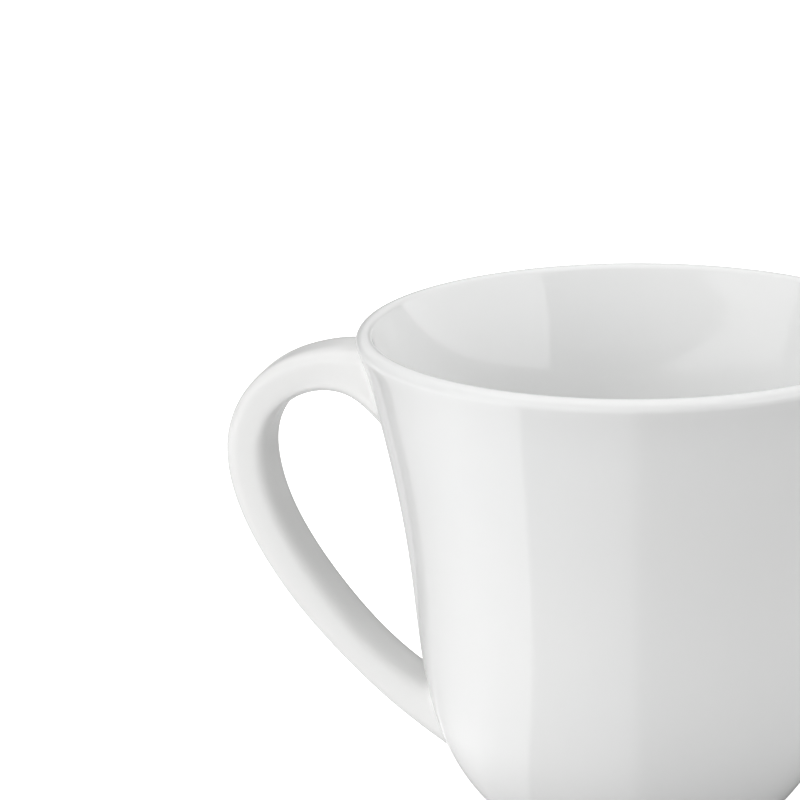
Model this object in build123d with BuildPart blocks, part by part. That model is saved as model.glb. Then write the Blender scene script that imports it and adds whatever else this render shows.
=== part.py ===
"""Porcelain mug: a waisted round body on a bare foot ring, with an ear-shaped strap handle
luted to its wall by two pads of slip.

Frame: millimetres, +Z up. The origin is the middle of the foot, on the plane that the mug
stands on. The handle points along -X.
"""
import os
from math import cos, radians, sin

from build123d import *

# ---- driving dimensions -----------------------------------------------------------------------
mug_height = 83.0
rim_radius = 45.0

lip_outer_round = 1.6  # roll on the drinking side of the lip
lip_inner_round = 1.1  # smaller break on the inside of the lip
lip_outer_lean = 19.0  # degrees off vertical where the outer wall runs into the roll
lip_inner_lean = 15.0  # degrees off vertical where the break runs into the inner wall

foot_height = 3.0
foot_top_radius = 23.4
foot_land_radius = 22.8
foot_inner_radius = 19.6
foot_edge_round = 0.7
foot_lean = 47.0  # degrees off vertical where the outer wall leaves the foot
recess_rise = 0.8  # how far the underside domes up inside the foot ring

floor_top = 8.6
floor_flat_radius = 14.0

handle_width = 12.0  # across the strap, along Y
root_width = 13.0  # the same where the clay is spread against the wall
handle_edge_round = 2.7

slip_thickness = 0.8  # clay slip between the wall and the end of the handle
slip_spread = 0.9  # how far the slip shows round the end of the handle

# ---- outlines ---------------------------------------------------------------------------------
# Outside of the wall as (radius, height), from the foot up: a full belly, a nearly upright
# waist and a flare towards the rim.
outer_wall = [
    (foot_top_radius, foot_height),
    (29.2, 10.1),
    (33.2, 19.6),
    (35.1, 29.6),
    (36.5, 42.5),
    (38.5, 55.7),
    (41.3, 68.7),
    (43.95, 78.3),
]
# Inside of the wall as (radius, height), from under the lip down to the floor. The wall is
# 3.2 mm thick at the top and 5 mm where it turns into the floor.
inner_wall = [
    (38.1, 68.7),
    (35.3, 55.7),
    (33.2, 42.5),
    (31.6, 29.6),
    (29.4, 19.6),
    (26.1, 13.2),
    (21.8, 9.9),
    (floor_flat_radius, floor_top),
]
# Centre line of the handle as (distance from the mug's axis, height), from inside the upper
# wall, over the arch and down the slanting limb to inside the lower wall.
handle_points = [
    (37.0, 69.7),
    (44.8, 73.9),
    (52.7, 74.0),
    (60.1, 70.2),
    (64.0, 63.5),
    (63.8, 54.8),
    (58.5, 42.7),
    (48.0, 29.2),
    (37.1, 19.6),
    (24.0, 12.0),
]
# Sections along the centre line as (share of its length, thickness, width). The strap is
# thickest in the upright limb, and its ends are fuller against the wall.
handle_sections = [
    (0.00, 12.4, root_width),
    (0.07, 9.3, root_width),
    (0.15, 7.0, handle_width),
    (0.25, 6.6, handle_width),
    (0.38, 6.9, handle_width),
    (0.50, 6.2, handle_width),
    (0.62, 5.9, handle_width),
    (0.74, 5.5, handle_width),
    (0.86, 6.3, handle_width),
    (1.00, 8.4, root_width),
]
handle_line = Spline(*[(-reach, 0, height) for reach, height in handle_points])


def leaning(angle):
    """Direction in a (radius, height) outline, some degrees outwards from straight up."""
    return (sin(radians(angle)), cos(radians(angle)))


def on_arc(centre, radius, angle):
    """Point of a circle in an outline, at an angle in degrees from straight outwards."""
    return (
        centre[0] + radius * cos(radians(angle)),
        centre[1] + radius * sin(radians(angle)),
    )


lip_crest = (rim_radius - lip_outer_round, mug_height)
outer_lip_centre = (lip_crest[0], mug_height - lip_outer_round)
inner_lip_centre = (lip_crest[0], mug_height - lip_inner_round)
lip_outside = on_arc(outer_lip_centre, lip_outer_round, -lip_outer_lean)
lip_outside_middle = on_arc(outer_lip_centre, lip_outer_round, (90 - lip_outer_lean) / 2)
lip_inside = on_arc(inner_lip_centre, lip_inner_round, 180 - lip_inner_lean)
lip_inside_middle = on_arc(inner_lip_centre, lip_inner_round, (270 - lip_inner_lean) / 2)

outer_wall_ends = [leaning(foot_lean), leaning(lip_outer_lean)]
inner_wall_ends = [leaning(180 + lip_inner_lean), leaning(-90)]

underside_middle = (0, foot_height + recess_rise)
underside_halfway = (foot_inner_radius / 2, foot_height + 0.75 * recess_rise)
underside_edge = (foot_inner_radius, foot_height)


def solid_of_outer_wall(grow):
    """The outer wall turned into a full solid, grown outwards by some millimetres."""
    wall = [(radius + grow, height) for radius, height in outer_wall + [lip_outside]]
    with BuildPart() as envelope:
        with BuildSketch(Plane.XZ):
            with BuildLine():
                Spline(*wall, tangents=outer_wall_ends)
                Polyline(wall[-1], (0, wall[-1][1]), (0, wall[0][1]), wall[0])
            make_face()
        revolve(axis=Axis.Z)
    return envelope.part


def strap(sections, grow):
    """The handle's clay through some of its sections, each grown all round by some millimetres."""
    with BuildPart() as lofted:
        for share, thickness, width in sections:
            across = Plane(
                origin=handle_line @ share,
                x_dir=(0, 1, 0),
                z_dir=handle_line % share,
            )
            with BuildSketch(across):
                RectangleRounded(
                    width + 2 * grow,
                    thickness + 2 * grow,
                    handle_edge_round + grow,
                )
        loft()
    return lofted.part


# ---- mug body: wall, lip and floor in one casting -----------------------------------------------
with BuildPart() as cup_body:
    with BuildSketch(Plane.XZ):
        with BuildLine():
            Spline(*outer_wall, lip_outside, tangents=outer_wall_ends)
            ThreePointArc(lip_outside, lip_outside_middle, lip_crest)
            ThreePointArc(lip_crest, lip_inside_middle, lip_inside)
            Spline(lip_inside, *inner_wall, tangents=inner_wall_ends)
            Polyline(inner_wall[-1], (0, floor_top), underside_middle)
            ThreePointArc(underside_middle, underside_halfway, underside_edge)
            Line(underside_edge, outer_wall[0])
        make_face()
    revolve(axis=Axis.Z)

# ---- foot ring: the bare ring that the mug stands on --------------------------------------------
with BuildPart() as foot_ring:
    with BuildSketch(Plane.XZ) as foot_section:
        with BuildLine():
            Polyline(
                underside_edge,
                outer_wall[0],
                (foot_land_radius, 0),
                (foot_inner_radius, 0),
                close=True,
            )
        make_face()
        fillet(foot_section.vertices().group_by(Axis.Y)[0], radius=foot_edge_round)
    revolve(axis=Axis.Z)

# ---- handle: the strap, cut to the curve of the wall with room for the slip -----------------------
with BuildPart() as handle:
    add(strap(handle_sections, 0))
    add(solid_of_outer_wall(slip_thickness), mode=Mode.SUBTRACT)

# ---- slip joints: thin pads of clay that lute the ends of the handle to the wall ------------------
with BuildPart() as upper_slip_joint:
    add(strap(handle_sections[:3], slip_spread))
    add(solid_of_outer_wall(slip_thickness), mode=Mode.INTERSECT)
    add(solid_of_outer_wall(0), mode=Mode.SUBTRACT)

with BuildPart() as lower_slip_joint:
    add(strap(handle_sections[-3:], slip_spread))
    add(solid_of_outer_wall(slip_thickness), mode=Mode.INTERSECT)
    add(solid_of_outer_wall(0), mode=Mode.SUBTRACT)

# ---- labels and files -----------------------------------------------------------------------------
cup_body.part.label = "cup_body"
foot_ring.part.label = "foot_ring"
handle.part.label = "handle"
upper_slip_joint.part.label = "upper_slip_joint"
lower_slip_joint.part.label = "lower_slip_joint"

os.makedirs("parts", exist_ok=True)
export_step(cup_body.part, "parts/cup_body.step")
export_step(foot_ring.part, "parts/foot_ring.step")
export_step(handle.part, "parts/handle.step")
export_step(upper_slip_joint.part, "parts/upper_slip_joint.step")
export_step(lower_slip_joint.part, "parts/lower_slip_joint.step")
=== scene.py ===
"""A glazed porcelain mug, modelled around its CAD frame, with the studio it is shown in.

The file is laid out as an add-on: property groups hold the sizes and colours, one operator
makes each group of pieces, and a panel in the 3D view's sidebar lists them. Outlines and
tables are in millimetres, and everything else is in metres.
"""
from math import cos, pi, radians, sin

import bmesh
import bpy
import numpy as np
from mathutils import Matrix, Vector


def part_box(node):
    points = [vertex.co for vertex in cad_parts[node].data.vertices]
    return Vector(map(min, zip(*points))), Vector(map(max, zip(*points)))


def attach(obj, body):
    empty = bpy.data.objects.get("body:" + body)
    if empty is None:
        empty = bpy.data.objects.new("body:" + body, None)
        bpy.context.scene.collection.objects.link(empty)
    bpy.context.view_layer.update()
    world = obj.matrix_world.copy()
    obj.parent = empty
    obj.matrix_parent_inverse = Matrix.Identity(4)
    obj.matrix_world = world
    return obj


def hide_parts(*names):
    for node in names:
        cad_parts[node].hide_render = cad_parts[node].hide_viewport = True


bl_info = {
    "name": "Porcelain Mug",
    "version": (1, 0, 0),
    "blender": (4, 5, 0),
    "location": "View3D > Sidebar > Mug",
    "description": "Builds a glazed porcelain mug and a plain studio round its CAD frame",
    "category": "Add Mesh",
}

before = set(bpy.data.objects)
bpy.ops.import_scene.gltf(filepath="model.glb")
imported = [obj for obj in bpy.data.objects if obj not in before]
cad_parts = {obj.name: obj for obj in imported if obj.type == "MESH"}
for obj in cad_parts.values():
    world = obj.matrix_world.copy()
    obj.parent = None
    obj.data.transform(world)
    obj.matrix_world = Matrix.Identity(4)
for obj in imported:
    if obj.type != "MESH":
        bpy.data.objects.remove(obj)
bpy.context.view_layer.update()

MM = 0.001
RIM_RADIUS = -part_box("cup_body")[0].y / MM
MUG_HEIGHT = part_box("cup_body")[1].z / MM
FOOT_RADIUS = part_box("foot_ring")[1].x / MM
FOOT_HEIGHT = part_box("foot_ring")[1].z / MM

# Outside of the wall as (radius, height), from the foot up: a full belly, a nearly upright
# waist and a flare towards the lip.
OUTER_WALL = [
    (FOOT_RADIUS, FOOT_HEIGHT),
    (29.2, 10.1),
    (33.2, 19.6),
    (35.1, 29.6),
    (36.5, 42.5),
    (38.5, 55.7),
    (41.3, 68.7),
    (43.95, 78.3),
]
# Inside of the wall as (radius, height), from under the lip down to the flat of the floor.
INNER_WALL = [
    (38.1, 68.7),
    (35.3, 55.7),
    (33.2, 42.5),
    (31.6, 29.6),
    (29.4, 19.6),
    (26.1, 13.2),
    (21.8, 9.9),
    (14.0, 8.6),
]
# Centre line of the handle as (distance from the mug's axis, height).
HANDLE_LINE = [
    (37.0, 69.7),
    (44.8, 73.9),
    (52.7, 74.0),
    (60.1, 70.2),
    (63.95, 63.5),
    (63.75, 54.8),
    (58.5, 42.7),
    (48.0, 29.2),
    (37.1, 19.6),
    (24.0, 12.0),
]
# Sections of the strap as (share of the centre line, thickness, width).
HANDLE_SECTIONS = [
    (0.00, 12.4, 13.0),
    (0.07, 9.3, 13.0),
    (0.15, 7.0, 12.0),
    (0.25, 6.6, 12.0),
    (0.38, 6.75, 12.0),
    (0.50, 6.2, 12.0),
    (0.62, 5.9, 12.0),
    (0.74, 5.5, 12.0),
    (0.86, 6.3, 12.0),
    (1.00, 8.4, 13.0),
]
# Painted light and shade of the table that the glaze reflects, as (share of a turn, brightness):
# from straight behind the mug at 0, round its handle's side, to the camera at 0.5.
PAINTED_TABLE_LIGHT_AND_SHADE = [
    (0.0, 0.6),
    (0.138, 0.8),
    (0.147, 1.35),
    (0.156, 1.35),
    (0.164, 1.05),
    (0.19, 1.2),
    (0.28, 2.5),
    (0.369, 2.5),
    (0.372, 1.1),
    (0.494, 1.0),
    (0.51, 0.1),
    (0.6, 0.5),
]
# Corners of the white cards as (degrees right of the camera, degrees up) from the mug.
LEFT_CARD = [(-80, -2), (12, -2), (12, 7), (-2, 9.5), (-31, 14.5), (-80, 23)]
BACK_CARD = [(140, 10), (220, 10), (220, 50), (140, 50)]
# Height of the point that the cards are laid out round, in metres.
CARDS_MIDDLE = 0.06


def linear(hex_colour):
    """An sRGB hex colour as linear red, green and blue."""
    channels = [int(hex_colour[i : i + 2], 16) / 255 for i in (0, 2, 4)]
    return [c / 12.92 if c <= 0.04045 else ((c + 0.055) / 1.055) ** 2.4 for c in channels]


# ---- curves -----------------------------------------------------------------------------------
def smooth(at, values, wanted, start=None, end=None):
    """Values between the given ones, on a cubic spline with continuous curvature.

    A gloss shows every kink of a surface, so all outlines and tables are read through this.
    start and end are the slopes there, and one that is left out is free.
    """
    at, values, wanted = np.asarray(at), np.asarray(values), np.asarray(wanted)
    steps = np.diff(at)
    slopes = np.diff(values, axis=0) / steps[:, None]
    last = len(steps)
    matrix = np.zeros((last + 1, last + 1))
    sides = np.zeros(values.shape)
    for i in range(1, last):
        matrix[i, i - 1 : i + 2] = steps[i], 2 * (steps[i - 1] + steps[i]), steps[i - 1]
        sides[i] = 3 * (steps[i] * slopes[i - 1] + steps[i - 1] * slopes[i])
    for i, beside, slope, fixed in ((0, 1, slopes[0], start), (last, last - 1, slopes[-1], end)):
        matrix[i, i] = 2 if fixed is None else 1
        matrix[i, beside] = 1 if fixed is None else 0
        sides[i] = 3 * slope if fixed is None else fixed
    tangents = np.linalg.solve(matrix, sides)
    span = np.clip(np.searchsorted(at, wanted, side="right") - 1, 0, last - 1)
    width = steps[span][..., None]
    t = (wanted - at[span])[..., None] / width
    return (
        values[span] * (1 + 2 * t) * (1 - t) ** 2
        + values[span + 1] * t**2 * (3 - 2 * t)
        + tangents[span] * width * t * (1 - t) ** 2
        + tangents[span + 1] * width * t**2 * (t - 1)
    )


def chords(points):
    """Distance from the first point to each point, along the straight runs between them."""
    steps = np.linalg.norm(np.diff(np.asarray(points), axis=0), axis=1)
    return np.concatenate([[0.0], np.cumsum(steps)])


def leaning(angle):
    """Direction in a (radius, height) outline, some degrees outwards from straight up."""
    return np.array([sin(radians(angle)), cos(radians(angle))])


def arc(centre, radius, start, end, count):
    """Points along an arc of an outline, with angles in degrees from straight outwards."""
    angles = np.radians(np.linspace(start, end, count))
    return np.stack([np.cos(angles), np.sin(angles)], axis=1) * radius + centre


def unit(vectors):
    return vectors / np.linalg.norm(vectors, axis=-1, keepdims=True)


# ---- meshes -----------------------------------------------------------------------------------
def skin(name, rings, joined=False):
    """A closed, smooth mesh over rings of points in millimetres.

    Joined rings meet end to end. Otherwise each end is closed by a fan round its middle.
    """
    count, around, _ = rings.shape
    points = rings.reshape(-1, 3)
    faces = []
    for i in range(count if joined else count - 1):
        here, there = i * around, (i + 1) % count * around
        for j in range(around):
            k = (j + 1) % around
            faces.append((here + j, here + k, there + k, there + j))
    if not joined:
        points = np.concatenate([points, [rings[0].mean(axis=0), rings[-1].mean(axis=0)]])
        middle, last = count * around, (count - 1) * around
        for j in range(around):
            k = (j + 1) % around
            faces.append((middle, k, j))
            faces.append((middle + 1, last + j, last + k))
    mesh = bpy.data.meshes.new(name)
    mesh.from_pydata((points * MM).tolist(), [], faces)
    # Rings may run round a piece either way, so the faces are turned to look outwards.
    solid = bmesh.new()
    solid.from_mesh(mesh)
    if solid.calc_volume(signed=True) < 0:
        mesh.flip_normals()
    solid.free()
    mesh.shade_smooth()
    piece = bpy.data.objects.new(name, mesh)
    bpy.context.scene.collection.objects.link(piece)
    return piece


def turned(name, outline, segments, joined=False):
    """A (radius, height) outline turned round the mug's axis."""
    angles = np.linspace(0, 2 * pi, segments, endpoint=False)
    radius, height = outline[:, :1], outline[:, 1:]
    level = np.repeat(height, segments, axis=1)
    rings = np.stack([radius * np.cos(angles), radius * np.sin(angles), level], axis=2)
    return skin(name, rings, joined)


def finish_piece(piece, material, node):
    """Gives a piece its material and its place in the frame."""
    piece.data.materials.append(material)
    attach(piece, "root")
    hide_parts(node)


# ---- the body ---------------------------------------------------------------------------------
def outer_wall(sizes, count):
    """The outside of the wall, from the foot up to where the lip's roll begins."""
    roll = sizes.lip_roll / MM
    centre = (RIM_RADIUS - roll, MUG_HEIGHT - roll)
    top = arc(centre, roll, -sizes.lip_lean, -sizes.lip_lean, 1)
    points = np.concatenate([OUTER_WALL, top])
    at = chords(points)
    wanted = np.linspace(0, at[-1], count)
    return smooth(at, points, wanted, leaning(sizes.foot_lean), leaning(sizes.lip_lean))


def inner_wall(sizes, count):
    """The inside of the wall, from under the lip down to the flat of the floor."""
    centre = (RIM_RADIUS - sizes.lip_roll / MM, MUG_HEIGHT - sizes.lip_break / MM)
    under_lip = 180 - sizes.lip_inner_lean
    top = arc(centre, sizes.lip_break / MM, under_lip, under_lip, 1)
    points = np.concatenate([top, INNER_WALL])
    at = chords(points)
    wanted = np.linspace(0, at[-1], count)
    return smooth(at, points, wanted, leaning(180 + sizes.lip_inner_lean), leaning(-90))


def body_outline(sizes):
    """The glazed body's outline, from the middle of its underside round to its floor."""
    roll, edge = sizes.lip_roll / MM, sizes.lip_break / MM
    bead = sizes.glaze_bead / MM
    recess = FOOT_RADIUS - sizes.foot_width / MM
    across = np.linspace(0.6, recess + bead, 24)
    dome = FOOT_HEIGHT + sizes.recess_rise / MM * (1 - (across / recess) ** 2)
    underside = np.stack([across, dome], axis=1)
    glaze_edge = arc((FOOT_RADIUS - bead, FOOT_HEIGHT), bead, -120, -10, 8)
    outer = outer_wall(sizes, 110)[2:]
    roll_out = arc((RIM_RADIUS - roll, MUG_HEIGHT - roll), roll, -sizes.lip_lean, 90, 22)
    roll_in = arc((RIM_RADIUS - roll, MUG_HEIGHT - edge), edge, 90, 180 - sizes.lip_inner_lean, 18)
    inner = inner_wall(sizes, 110)
    floor_across = np.linspace(INNER_WALL[-1][0], 0.6, 12)
    floor = np.stack([floor_across, np.full(12, INNER_WALL[-1][1])], axis=1)
    parts = [underside, glaze_edge, outer, roll_out[1:], roll_in[1:], inner[1:], floor[1:]]
    return np.concatenate(parts)


def foot_outline(sizes):
    """The bare foot ring's closed outline, with its two rounded standing edges."""
    edge = sizes.foot_round / MM
    set_back = sizes.glaze_bead / MM
    outside = FOOT_RADIUS - sizes.foot_taper / MM
    inside = FOOT_RADIUS - sizes.foot_width / MM
    top = FOOT_HEIGHT + set_back
    side = np.linspace((FOOT_RADIUS - set_back, top), (outside, edge), 8)
    outer_edge = arc((outside - edge, edge), edge, 0, -90, 10)
    land = np.linspace((outside - edge, 0), (inside + edge, 0), 8)
    inner_edge = arc((inside + edge, edge), edge, -90, -180, 10)
    inner_side = np.linspace((inside, edge), (inside, top), 8)
    upper = np.linspace((inside, top), (FOOT_RADIUS - set_back, top), 8)
    parts = [side, outer_edge[1:], land[1:], inner_edge[1:], inner_side[1:], upper[1:-1]]
    return np.concatenate(parts)


class Wall:
    """The outside of the wall as a surface that other pieces can meet."""

    def __init__(self, sizes):
        self.radius, self.height = outer_wall(sizes, 600).T
        self.slope = np.gradient(self.radius, self.height)

    def gap(self, points):
        """How far points stand out from the wall, measured level."""
        reach = np.hypot(points[..., 0], points[..., 1])
        return reach - np.interp(points[..., 2], self.height, self.radius)

    def onto(self, points):
        """The points moved level onto the wall."""
        reach = np.hypot(points[..., 0], points[..., 1])
        scale = np.interp(points[..., 2], self.height, self.radius) / reach
        return np.stack([points[..., 0] * scale, points[..., 1] * scale, points[..., 2]], axis=-1)

    def normal(self, points):
        """Outward normals of the wall."""
        reach = np.hypot(points[..., 0], points[..., 1])
        slope = np.interp(points[..., 2], self.height, self.slope)
        return unit(np.stack([points[..., 0] / reach, points[..., 1] / reach, -slope], axis=-1))


# ---- the handle and its joints --------------------------------------------------------------------
class Strap:
    """The handle's surface, by share of its centre line and angle round its section."""

    def __init__(self, sizes):
        self.squareness = sizes.strap_squareness
        self.at = chords(HANDLE_LINE)
        self.table = np.array(HANDLE_SECTIONS)

    def line(self, shares):
        return smooth(self.at, HANDLE_LINE, shares * self.at[-1])

    def points(self, shares, angles):
        """Points of the surface. Angle 0 is the middle of the outer face."""
        shares, angles = np.broadcast_arrays(shares, angles)
        step = 1e-4
        ahead = unit(self.line(shares + step) - self.line(shares - step))
        thickness, width = np.moveaxis(
            smooth(self.table[:, 0], self.table[:, 1:], shares), -1, 0
        )
        # A superellipse: an oval with flattened faces and soft edges.
        face, side = np.cos(angles), np.sin(angles)
        squareness = self.squareness
        size = (np.abs(face) ** squareness + np.abs(side) ** squareness) ** (-1 / squareness)
        out = size * face * thickness / 2
        middle = self.line(shares)
        return np.stack(
            [
                -(middle[..., 0] - ahead[..., 1] * out),
                size * side * width / 2,
                middle[..., 1] + ahead[..., 0] * out,
            ],
            axis=-1,
        )

    def leaves(self, wall, angles, gap, shares):
        """The share at which each line along the strap stands a gap out from the wall."""
        away = wall.gap(self.points(shares[:, None], angles)) - gap
        return np.array([np.interp(0.0, away[:, j], shares) for j in range(len(angles))])


UPPER_END = np.linspace(0.0, 0.2, 400)
LOWER_END = np.linspace(1.0, 0.8, 400)


def handle_rings(sizes, rings, around):
    """Rings of the strap, whose ends follow the wall over the slip."""
    wall, strap = Wall(sizes), Strap(sizes)
    angles = np.linspace(0, 2 * pi, around, endpoint=False)
    slip = sizes.slip_thickness / MM
    start = strap.leaves(wall, angles, slip, UPPER_END)
    end = strap.leaves(wall, angles, slip, LOWER_END)
    shares = start + (end - start) * np.linspace(0, 1, rings)[:, None]
    return strap.points(shares, angles[None, :])


def slip_rings(sizes, stretch, around):
    """Cross-sections of the fillet of slip that runs round one end of the strap."""
    wall, strap = Wall(sizes), Strap(sizes)
    angles = np.linspace(0, 2 * pi, around, endpoint=False)
    root = strap.leaves(wall, angles, 0.0, stretch)
    corner = strap.points(root, angles)
    run = strap.at[-1]
    onward = np.sign(stretch[-1] - stretch[0]) / run
    rise, spread, sunk = sizes.slip_rise / MM, sizes.slip_spread / MM, sizes.slip_sunk / MM
    normal = wall.normal(corner)
    beside = np.roll(corner, -1, axis=0) - np.roll(corner, 1, axis=0)
    outward = unit(np.cross(beside, normal))
    outward *= np.sign(np.sum(outward * (corner - corner.mean(axis=0)), axis=1))[:, None]

    on_strap = strap.points(root + onward * rise, angles)
    up_strap = strap.points(root + onward * (rise + 1.0), angles)
    on_wall = wall.onto(corner + outward * spread)
    past_wall = wall.onto(corner + outward * (spread + 1.0))
    strap_middle = strap.points(root + onward * (rise + 1.0), angles).mean(axis=0)

    sections = [up_strap + unit(strap_middle - up_strap) * sunk]
    for t in np.linspace(0, 1, 14):
        sections.append(on_strap * (1 - t) ** 2 + corner * 2 * t * (1 - t) + on_wall * t**2)
    sections.append(past_wall - wall.normal(past_wall) * sunk)
    sections.append(corner - normal * 0.6)
    sections.append(up_strap + unit(strap_middle - up_strap) * 1.2)
    return np.stack(sections)


# ---- materials ----------------------------------------------------------------------------------
def add_node(tree, kind, inputs=(), **settings):
    """Adds a node with its settings, and sets or links its inputs."""
    node = tree.nodes.new(kind)
    for name, value in settings.items():
        setattr(node, name, value)
    for name, value in dict(inputs).items():
        if isinstance(value, bpy.types.NodeSocket):
            tree.links.new(value, node.inputs[name])
        else:
            node.inputs[name].default_value = value
    return node


def new_material(name):
    material = bpy.data.materials.new(name)
    material.use_nodes = True
    material.node_tree.nodes.clear()
    return material


def glazed_porcelain(colours):
    """Glazed porcelain: a white vitrified body under a clear, fired-on glass.

    The body scatters light softly, the glaze gives a hard, clear reflection over it, and the
    melt leaves a faint, long undulation that keeps highlights from looking ruled.
    """
    material = new_material("glazed_porcelain")
    tree = material.node_tree
    where = add_node(tree, "ShaderNodeTexCoord").outputs["Object"]
    # The melt flows over about 9 mm and leaves an orange peel of about 1.4 mm.
    flow = add_node(tree, "ShaderNodeTexNoise", {"Vector": where, "Scale": 1 / 0.009, "Detail": 1.0})
    peel = add_node(tree, "ShaderNodeTexNoise", {"Vector": where, "Scale": 1 / 0.0014, "Detail": 1.0})
    flow_bump = add_node(
        tree,
        "ShaderNodeBump",
        {"Height": flow.outputs["Fac"], "Strength": 0.12, "Distance": 0.00012},
    )
    peel_bump = add_node(
        tree,
        "ShaderNodeBump",
        {
            "Height": peel.outputs["Fac"],
            "Strength": 0.08,
            "Distance": 0.00001,
            "Normal": flow_bump.outputs["Normal"],
        },
    )
    # The glaze pools and thins by tenths of a millimetre, which shows as a faint drift in tone.
    drift = add_node(tree, "ShaderNodeTexNoise", {"Vector": where, "Scale": 1 / 0.035, "Detail": 2.0})
    tone = add_node(
        tree,
        "ShaderNodeMix",
        {"Factor": drift.outputs["Fac"], 6: (*colours.glaze, 1), 7: (*colours.glaze_pooled, 1)},
        data_type="RGBA",
    )
    gloss = add_node(
        tree,
        "ShaderNodeMapRange",
        {"Value": drift.outputs["Fac"], "To Min": 0.05, "To Max": 0.09},
    )
    shader = add_node(
        tree,
        "ShaderNodeBsdfPrincipled",
        {
            "Base Color": tone.outputs[2],
            "Roughness": gloss.outputs["Result"],
            "IOR": 1.52,
            "Normal": peel_bump.outputs["Normal"],
        },
    )
    add_node(tree, "ShaderNodeOutputMaterial", {"Surface": shader.outputs["BSDF"]})
    return material


def bare_porcelain(colours):
    """Bare fired porcelain: the unglazed clay of the foot, wiped with a sponge before firing.

    It is matt and slightly warm, with fine grog specks and faint rings left by the wiping.
    """
    material = new_material("bare_porcelain")
    tree = material.node_tree
    where = add_node(tree, "ShaderNodeTexCoord").outputs["Object"]
    # Clay grain of 0.3 mm, with specks of 0.8 mm that are drawn as coarse as they need to show.
    grain = add_node(tree, "ShaderNodeTexNoise", {"Vector": where, "Scale": 1 / 0.0003, "Detail": 4.0})
    specks = add_node(tree, "ShaderNodeTexVoronoi", {"Vector": where, "Scale": 1 / 0.0008})
    speckled = add_node(
        tree,
        "ShaderNodeMapRange",
        {"Value": specks.outputs["Distance"], "From Min": 0.05, "From Max": 0.16, "To Max": 1.0},
    )
    tone = add_node(
        tree,
        "ShaderNodeMix",
        {
            "Factor": speckled.outputs["Result"],
            6: (*colours.clay_speck, 1),
            7: (*colours.clay, 1),
        },
        data_type="RGBA",
    )
    # Wiping marks about 0.5 mm apart, running round the mug's axis.
    wiping = add_node(
        tree,
        "ShaderNodeTexWave",
        {"Vector": where, "Scale": 1 / 0.0005 / 20, "Distortion": 0.6, "Detail": 2.0},
        wave_type="RINGS",
        rings_direction="Z",
    )
    wiped = add_node(
        tree,
        "ShaderNodeBump",
        {"Height": wiping.outputs["Fac"], "Strength": 0.15, "Distance": 0.00005},
    )
    rough = add_node(
        tree,
        "ShaderNodeBump",
        {
            "Height": grain.outputs["Fac"],
            "Strength": 0.5,
            "Distance": 0.00005,
            "Normal": wiped.outputs["Normal"],
        },
    )
    matt = add_node(
        tree,
        "ShaderNodeMapRange",
        {"Value": grain.outputs["Fac"], "To Min": 0.7, "To Max": 0.9},
    )
    shader = add_node(
        tree,
        "ShaderNodeBsdfPrincipled",
        {
            "Base Color": tone.outputs[2],
            "Roughness": matt.outputs["Result"],
            "IOR": 1.5,
            "Normal": rough.outputs["Normal"],
        },
    )
    add_node(tree, "ShaderNodeOutputMaterial", {"Surface": shader.outputs["BSDF"]})
    return material


def studio_paper(colours):
    """Matt white background paper, with the faint mottle of its pulp."""
    material = new_material("studio_paper")
    tree = material.node_tree
    where = add_node(tree, "ShaderNodeTexCoord").outputs["Object"]
    pulp = add_node(tree, "ShaderNodeTexNoise", {"Vector": where, "Scale": 1 / 0.02, "Detail": 3.0})
    tone = add_node(
        tree,
        "ShaderNodeMix",
        {"Factor": pulp.outputs["Fac"], 6: (*colours.paper, 1), 7: (*colours.paper_dark, 1)},
        data_type="RGBA",
    )
    shader = add_node(
        tree,
        "ShaderNodeBsdfPrincipled",
        {
            "Base Color": tone.outputs[2],
            "Roughness": 0.9,
            "Specular IOR Level": 0.2,
            "Emission Color": (1, 1, 1, 1),
            "Emission Strength": 0.6,
        },
    )
    add_node(tree, "ShaderNodeOutputMaterial", {"Surface": shader.outputs["BSDF"]})
    return material


def grey_card():
    """Matt grey card: it throws half of the light on it back up at the mug."""
    material = new_material("grey_card")
    tree = material.node_tree
    shader = add_node(
        tree,
        "ShaderNodeBsdfPrincipled",
        {"Base Color": (0.5, 0.5, 0.5, 1), "Roughness": 0.9},
    )
    add_node(tree, "ShaderNodeOutputMaterial", {"Surface": shader.outputs["BSDF"]})
    return material


def lit_card(name, brightness):
    """White card under an even light."""
    material = new_material(name)
    tree = material.node_tree
    light = add_node(tree, "ShaderNodeEmission", {"Strength": brightness})
    add_node(tree, "ShaderNodeOutputMaterial", {"Surface": light.outputs["Emission"]})
    return material


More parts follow.
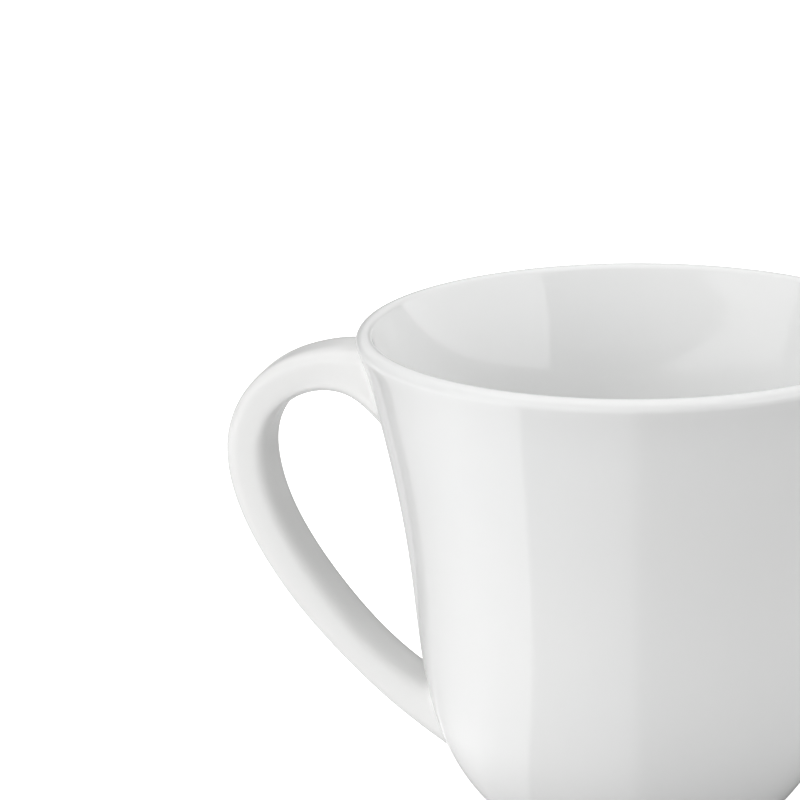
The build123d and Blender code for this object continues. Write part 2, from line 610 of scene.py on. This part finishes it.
def painted_table_reflection():
    """A glowing card that the glaze reflects, with the table's light and shade painted on it: painted
    light on one side, and a painted shadow close to the mug.
    """
    material = new_material("painted_table_reflection")
    tree = material.node_tree
    where = add_node(tree, "ShaderNodeTexCoord").outputs["Object"]
    around = add_node(tree, "ShaderNodeTexGradient", {"Vector": where}, gradient_type="RADIAL")
    ramp = add_node(tree, "ShaderNodeValToRGB", {"Fac": around.outputs["Fac"]})
    # The ramp's stops are the painted light and shade of the table, round the mug.
    brightest = max(brightness for _, brightness in PAINTED_TABLE_LIGHT_AND_SHADE)
    elements = ramp.color_ramp.elements
    for share, _ in PAINTED_TABLE_LIGHT_AND_SHADE[2:]:
        elements.new(share)
    for element, (share, brightness) in zip(elements, PAINTED_TABLE_LIGHT_AND_SHADE):
        level = brightness / brightest
        element.position = share
        element.color = (level, level, level, 1)
    # Painted shadow: the mug's own shade is painted on the card, darkening it out to about 50 mm from
    # its axis.
    away = add_node(tree, "ShaderNodeVectorMath", {"Vector": where}, operation="LENGTH")
    painted_shadow = add_node(
        tree,
        "ShaderNodeMapRange",
        {
            "Value": away.outputs["Value"],
            "From Min": 0.028,
            "From Max": 0.05,
            "To Min": 0.35 * brightest,
            "To Max": brightest,
        },
    )
    light = add_node(
        tree,
        "ShaderNodeEmission",
        {"Color": ramp.outputs["Color"], "Strength": painted_shadow.outputs["Result"]},
    )
    add_node(tree, "ShaderNodeOutputMaterial", {"Surface": light.outputs["Emission"]})
    return material


# ---- sizes and colours that a user would change -----------------------------------------------------
def length(name, description, default):
    return bpy.props.FloatProperty(
        name=name, description=description, default=default, unit="LENGTH", precision=5
    )


def angle_degrees(name, description, default):
    return bpy.props.FloatProperty(name=name, description=description, default=default)


def power(name, description, default):
    return bpy.props.FloatProperty(
        name=name, description=description, default=default, unit="POWER"
    )


def strength(name, description, default):
    return bpy.props.FloatProperty(name=name, description=description, default=default)


def colour(name, description, default):
    return bpy.props.FloatVectorProperty(
        name=name, description=description, default=linear(default), subtype="COLOR"
    )


class MugSizes(bpy.types.PropertyGroup):
    """Sizes of the mug that its frame leaves open."""

    lip_roll: length("Lip roll", "Radius on the drinking side of the lip", 0.0016)
    lip_break: length("Lip break", "Radius on the inside of the lip", 0.0011)
    lip_lean: angle_degrees("Lip lean", "Degrees off upright where the wall meets the lip", 19.0)
    lip_inner_lean: angle_degrees("Inner lean", "The same on the inside of the wall", 15.0)
    foot_lean: angle_degrees("Foot lean", "Degrees off upright where the wall leaves the foot", 47.0)
    foot_width: length("Foot width", "Width of the foot ring at its top", 0.0038)
    foot_taper: length("Foot taper", "How far the foot ring draws in towards the table", 0.0006)
    foot_round: length("Foot edge", "Radius of the foot ring's standing edges", 0.0007)
    recess_rise: length("Recess rise", "How far the underside domes up inside the foot", 0.0008)
    glaze_bead: length("Glaze bead", "Radius of the glaze's edge above the foot", 0.0002)
    strap_squareness: bpy.props.FloatProperty(
        name="Strap squareness",
        description="2 makes the strap's section an oval, and more flattens its faces",
        default=4.4,
    )
    slip_thickness: length("Slip thickness", "Clay slip between wall and handle", 0.0008)
    slip_rise: length("Slip rise", "How far the fillet climbs the handle", 0.0022)
    slip_spread: length("Slip spread", "How far the fillet spreads over the wall", 0.0016)
    slip_sunk: length("Slip sunk", "How deep the fillet's hidden edges lie", 0.00003)


class MugColours(bpy.types.PropertyGroup):
    """Colours of the mug and the studio."""

    glaze: colour("Glaze", "Clear glaze over the white body", "F1F1F0")
    glaze_pooled: colour("Pooled glaze", "The same where the glaze lies thicker", "EEEFEF")
    clay: colour("Bare clay", "Unglazed clay of the foot ring", "E6E1D8")
    clay_speck: colour("Clay speck", "Specks in the bare clay", "CFC8BC")
    paper: colour("Paper", "Background paper", "F4F4F4")
    paper_dark: colour("Paper mottle", "The paper's faint mottle", "F0F0F0")


class StudioSettings(bpy.types.PropertyGroup):
    """The camera's place and the studio's lights."""

    camera_distance: length("Camera distance", "From the middle of the rim", 0.9)
    camera_azimuth: angle_degrees("Azimuth", "Degrees round the mug, away from the handle", 12.0)
    camera_elevation: angle_degrees("Elevation", "Degrees above the rim", 14.6)
    camera_pan: angle_degrees("Pan", "Degrees turned to the handle's side of the rim", 2.497)
    camera_tilt: angle_degrees("Tilt", "Degrees turned below the rim", 0.718)
    camera_roll: angle_degrees("Roll", "Degrees leaned over to the right", 0.8)
    camera_lens: bpy.props.FloatProperty(
        name="Lens", description="Focal length on a 36 mm sensor", default=250.8, unit="CAMERA"
    )
    overhead_power: power("Overhead", "Power of the softbox over the mug", 19.5)
    left_power: power("Left", "Power of the softbox on the handle's side", 10.0)
    right_power: power("Right", "Power of the softbox on the far side from the handle", 6.0)
    fill_power: power("Fill", "Power of the weak light beside the camera", 0.6)
    room_light: strength("Room", "Even light from all round", 0.25)
    left_card: strength("Left card", "Brightness of the slanted card in the glaze", 1.3)
    back_card: strength("Back card", "Brightness of the card behind the mug", 0.65)


# ---- operators --------------------------------------------------------------------------------------
class MUG_OT_body(bpy.types.Operator):
    """Turn the glazed body"""

    bl_idname = "mug.body"
    bl_label = "Body"

    def execute(self, context):
        sizes, colours = context.scene.mug_sizes, context.scene.mug_colours
        piece = turned("glazed_body", body_outline(sizes), 288)
        finish_piece(piece, glazed_porcelain(colours), "cup_body")
        return {"FINISHED"}


class MUG_OT_foot(bpy.types.Operator):
    """Turn the bare foot ring"""

    bl_idname = "mug.foot"
    bl_label = "Foot ring"

    def execute(self, context):
        sizes, colours = context.scene.mug_sizes, context.scene.mug_colours
        piece = turned("bare_foot_ring", foot_outline(sizes), 288, joined=True)
        finish_piece(piece, bare_porcelain(colours), "foot_ring")
        return {"FINISHED"}


class MUG_OT_handle(bpy.types.Operator):
    """Pull the strap handle and cut its ends to the wall"""

    bl_idname = "mug.handle"
    bl_label = "Handle"

    def execute(self, context):
        sizes = context.scene.mug_sizes
        piece = skin("strap_handle", handle_rings(sizes, 220, 96))
        glaze = bpy.data.materials["glazed_porcelain"]
        finish_piece(piece, glaze, "handle")
        return {"FINISHED"}


class MUG_OT_slip_joints(bpy.types.Operator):
    """Run a fillet of slip round each end of the handle"""

    bl_idname = "mug.slip_joints"
    bl_label = "Slip joints"

    def execute(self, context):
        sizes = context.scene.mug_sizes
        glaze = bpy.data.materials["glazed_porcelain"]
        for end, stretch in (("upper", UPPER_END), ("lower", LOWER_END)):
            piece = skin(f"{end}_slip_fillet", slip_rings(sizes, stretch, 144), joined=True)
            finish_piece(piece, glaze, f"{end}_slip_joint")
        return {"FINISHED"}


def card(name, corners, material, in_camera=False, in_gloss=False, in_light=False):
    """A flat card of the studio, and what it shows up in."""
    mesh = bpy.data.meshes.new(name)
    mesh.from_pydata(corners, [], [tuple(range(len(corners)))])
    mesh.materials.append(material)
    piece = bpy.data.objects.new(name, mesh)
    bpy.context.scene.collection.objects.link(piece)
    piece.visible_camera = in_camera
    piece.visible_glossy = in_gloss
    piece.visible_diffuse = in_light
    piece.visible_shadow = in_light
    return piece


def level_square(reach, height):
    """Corners of a level square round the mug's axis."""
    return [(x * reach, y * reach, height) for x, y in ((-1, -1), (1, -1), (1, 1), (-1, 1))]


def round_the_mug(bearings, azimuth):
    """Points a metre from the mug, from (degrees right of the camera, degrees up)."""
    points = []
    for across, up in bearings:
        bearing, raised = radians(across + azimuth), radians(up)
        level = cos(raised)
        points.append((level * sin(bearing), -level * cos(bearing), CARDS_MIDDLE + sin(raised)))
    return points


def area_light(name, where, aim, size, power, in_gloss=True):
    """A soft rectangular light that the camera itself doesn't see."""
    lamp = bpy.data.lights.new(name, "AREA")
    lamp.shape = "RECTANGLE"
    lamp.size, lamp.size_y = size
    lamp.energy = power
    light = bpy.data.objects.new(name, lamp)
    light.location = where
    light.rotation_euler = (Vector(aim) - Vector(where)).to_track_quat("-Z", "Y").to_euler()
    light.visible_camera = False
    light.visible_glossy = in_gloss
    bpy.context.scene.collection.objects.link(light)


def make_room(scene):
    """Even white light from the walls and ceiling of the room."""
    room = bpy.data.worlds.new("soft_white_room")
    room.use_nodes = True
    background = room.node_tree.nodes["Background"]
    background.inputs["Color"].default_value = (1, 1, 1, 1)
    background.inputs["Strength"].default_value = scene.mug_studio.room_light
    scene.world = room


class MUG_OT_studio(bpy.types.Operator):
    """Lay the paper, hang the lights and set up the camera"""

    bl_idname = "mug.studio"
    bl_label = "Studio"

    def execute(self, context):
        scene, studio = context.scene, context.scene.mug_studio
        azimuth = studio.camera_azimuth
        # The camera sees bright paper, the mug is lit by a grey table under it, and the glaze
        # reflects a glowing card with the table's light and shade painted on it.
        paper = studio_paper(scene.mug_colours)
        card("studio_floor", level_square(6.0, -0.0002), paper, in_camera=True)
        card("table_card", level_square(6.0, -0.001), grey_card(), in_gloss=True, in_light=True)
        # Painted reflection: a glowing card that only the glaze sees, with painted light and a painted
        # shadow of the mug.
        table = card("painted_reflection_card", level_square(0.75, 0.0005), painted_table_reflection(), in_gloss=True)
        table.rotation_euler.z = radians(azimuth - 90)

        # Low white cards that only show in the glaze. The left one has a slanting top edge.
        left = round_the_mug(LEFT_CARD, azimuth)
        card("left_card", left, lit_card("left_card", studio.left_card), in_gloss=True)
        back = round_the_mug(BACK_CARD, azimuth)
        card("back_card", back, lit_card("back_card", studio.back_card), in_gloss=True)

        belly = (0, 0, 0.04)
        area_light("overhead_softbox", (0, 0.3, 1.5), (0, 0.2, 0), (2.8, 2.8), studio.overhead_power)
        area_light("right_softbox", (1.09, 0.13, 0.38), belly, (1.9, 0.6), studio.right_power)
        left_place, fill_place = (-0.654, -1.006, 0.5), (0.37, -1.14, 0.35)
        area_light("left_softbox", left_place, belly, (1.4, 1.0), studio.left_power, in_gloss=False)
        area_light("front_fill", fill_place, belly, (1.6, 0.7), studio.fill_power, in_gloss=False)
        make_room(scene)
        make_camera(scene)
        scene.view_settings.view_transform = "Standard"
        return {"FINISHED"}


def make_camera(scene):
    """Points the camera beside the rim, from above, on a long lens."""
    studio = scene.mug_studio
    round_mug = radians(studio.camera_azimuth)
    down = radians(studio.camera_elevation)
    rim = Vector((0, 0, MUG_HEIGHT * MM))
    out = Vector((sin(round_mug) * cos(down), -cos(round_mug) * cos(down), sin(down)))
    data = bpy.data.cameras.new("camera")
    data.sensor_width = 36.0
    data.lens = studio.camera_lens
    camera = bpy.data.objects.new("camera", data)
    turn = (
        Matrix.Rotation(round_mug, 4, "Z")
        @ Matrix.Rotation(radians(studio.camera_pan), 4, "Z")
        @ Matrix.Rotation(radians(90) - down - radians(studio.camera_tilt), 4, "X")
        @ Matrix.Rotation(-radians(studio.camera_roll), 4, "Z")
    )
    camera.matrix_world = Matrix.Translation(rim + out * studio.camera_distance) @ turn
    scene.collection.objects.link(camera)
    scene.camera = camera


class MUG_PT_panel(bpy.types.Panel):
    """Lists the mug's pieces, sizes and colours"""

    bl_idname = "MUG_PT_panel"
    bl_label = "Porcelain Mug"
    bl_space_type = "VIEW_3D"
    bl_region_type = "UI"
    bl_category = "Mug"

    def draw(self, context):
        for operator in OPERATORS:
            self.layout.operator(operator.bl_idname)
        for group in (context.scene.mug_sizes, context.scene.mug_colours, context.scene.mug_studio):
            box = self.layout.box()
            for name in group.__annotations__:
                box.prop(group, name)


GROUPS = {"mug_sizes": MugSizes, "mug_colours": MugColours, "mug_studio": StudioSettings}
OPERATORS = (MUG_OT_body, MUG_OT_foot, MUG_OT_handle, MUG_OT_slip_joints, MUG_OT_studio)


def register():
    for name, group in GROUPS.items():
        bpy.utils.register_class(group)
        setattr(bpy.types.Scene, name, bpy.props.PointerProperty(type=group))
    for operator in OPERATORS:
        bpy.utils.register_class(operator)
    bpy.utils.register_class(MUG_PT_panel)


def unregister():
    bpy.utils.unregister_class(MUG_PT_panel)
    for operator in reversed(OPERATORS):
        bpy.utils.unregister_class(operator)
    for name, group in GROUPS.items():
        delattr(bpy.types.Scene, name)
        bpy.utils.unregister_class(group)


def main():
    register()
    bpy.ops.mug.body()
    bpy.ops.mug.foot()
    bpy.ops.mug.handle()
    bpy.ops.mug.slip_joints()
    bpy.ops.mug.studio()


if __name__ == "__main__":
    main()
